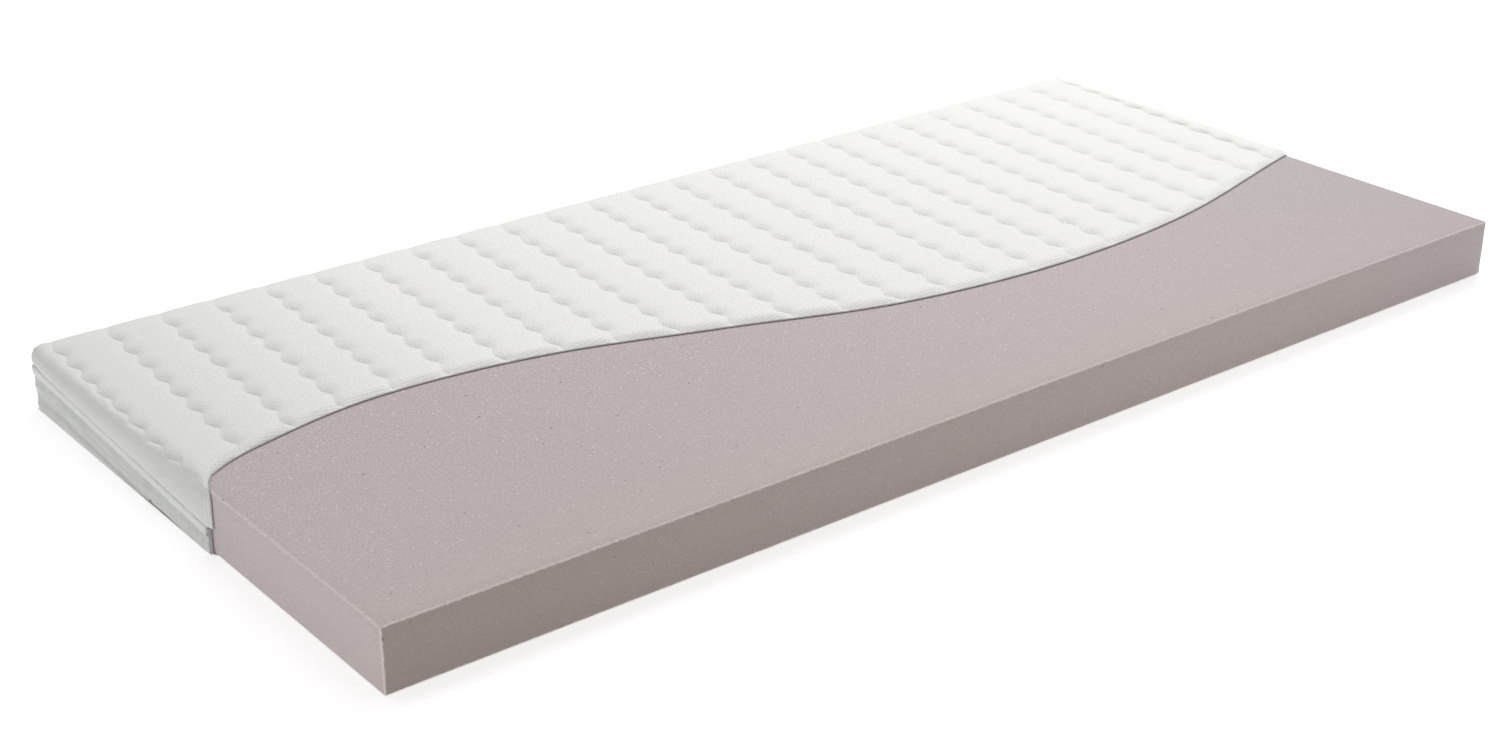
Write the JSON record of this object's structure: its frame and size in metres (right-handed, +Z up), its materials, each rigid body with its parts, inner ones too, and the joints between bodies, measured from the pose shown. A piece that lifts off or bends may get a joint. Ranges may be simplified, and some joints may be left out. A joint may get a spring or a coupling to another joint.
{
  "type": "pressure relief mattress",
  "caption": "Low single mattress with a plain foam core, shown with its quilted removable cover cut back in a curve so that the foam is seen.",
  "frame": {"origin": "middle of the whole part's box, at the underside of the base panel", "axes": "+Z up, +X along the length, +Y across the width towards the covered long side"},
  "size_m": [1.9154, 0.9104, 0.0957],
  "materials": {
    "foam": "matte open-cell foam",
    "knit": "fine matte knit",
    "wadding": "soft fibre",
    "backing": "thin non-woven",
    "thread": "spun thread",
    "border": "ribbed knit",
    "binding": "overlocked edge",
    "base_cloth": "plain woven",
    "zip_cloth": "woven tape",
    "zip_plastic": "satin coil",
    "zip_metal": "satin"
  },
  "bodies": {
    "base": {"foam_core": "foam", "base_panel": "base_cloth", "border_lower_band": "border", "zip_tape_lower": "zip_cloth", "zip_coil_lower": "zip_plastic", "zip_stop_start": "zip_metal", "zip_stop_end": "zip_metal", "cut_edge_binding_lower": "binding"},
    "cover_top": {"cover_top_backing": "backing", "cover_top_wadding": "wadding", "cover_top_knit": "knit", "piping_sleeve": "knit", "piping_cord": "wadding", "border_upper_band": "border", "zip_tape_upper": "zip_cloth", "zip_coil_upper": "zip_plastic", "cut_edge_binding": "binding", "quilting_row_01": "thread", "quilting_row_02": "thread", "quilting_row_03": "thread", "quilting_row_04": "thread", "quilting_row_05": "thread", "quilting_row_06": "thread", "quilting_row_07": "thread", "quilting_row_08": "thread", "quilting_row_09": "thread", "quilting_row_10": "thread", "quilting_row_11": "thread", "quilting_row_12": "thread", "quilting_row_13": "thread", "quilting_row_14": "thread", "quilting_row_15": "thread", "quilting_row_16": "thread", "quilting_row_17": "thread", "quilting_row_18": "thread", "quilting_row_19": "thread", "quilting_row_20": "thread", "quilting_row_21": "thread", "quilting_row_22": "thread", "quilting_row_23": "thread", "quilting_row_24": "thread", "quilting_row_25": "thread"},
    "zip_slider": {"zip_slider": "zip_metal"},
    "zip_pull": {"zip_pull_tab": "zip_metal"}
  },
  "joints": [
    {"name": "cover_top_lift", "type": "slide", "parent": "base", "child": "cover_top", "axis": [0, 0, 1], "range_m": [0, 0.25]},
    {"name": "zip_slider_run", "type": "slide", "parent": "cover_top", "child": "zip_slider", "axis": [-1, 0, 0], "range_m": [0, 1.76]},
    {"name": "zip_pull_swing", "type": "hinge", "parent": "zip_slider", "child": "zip_pull", "pos_m": [0.88, 0.4536, 0.024], "axis": [0, 0, 1], "range_deg": [0, 170]}
  ]
}
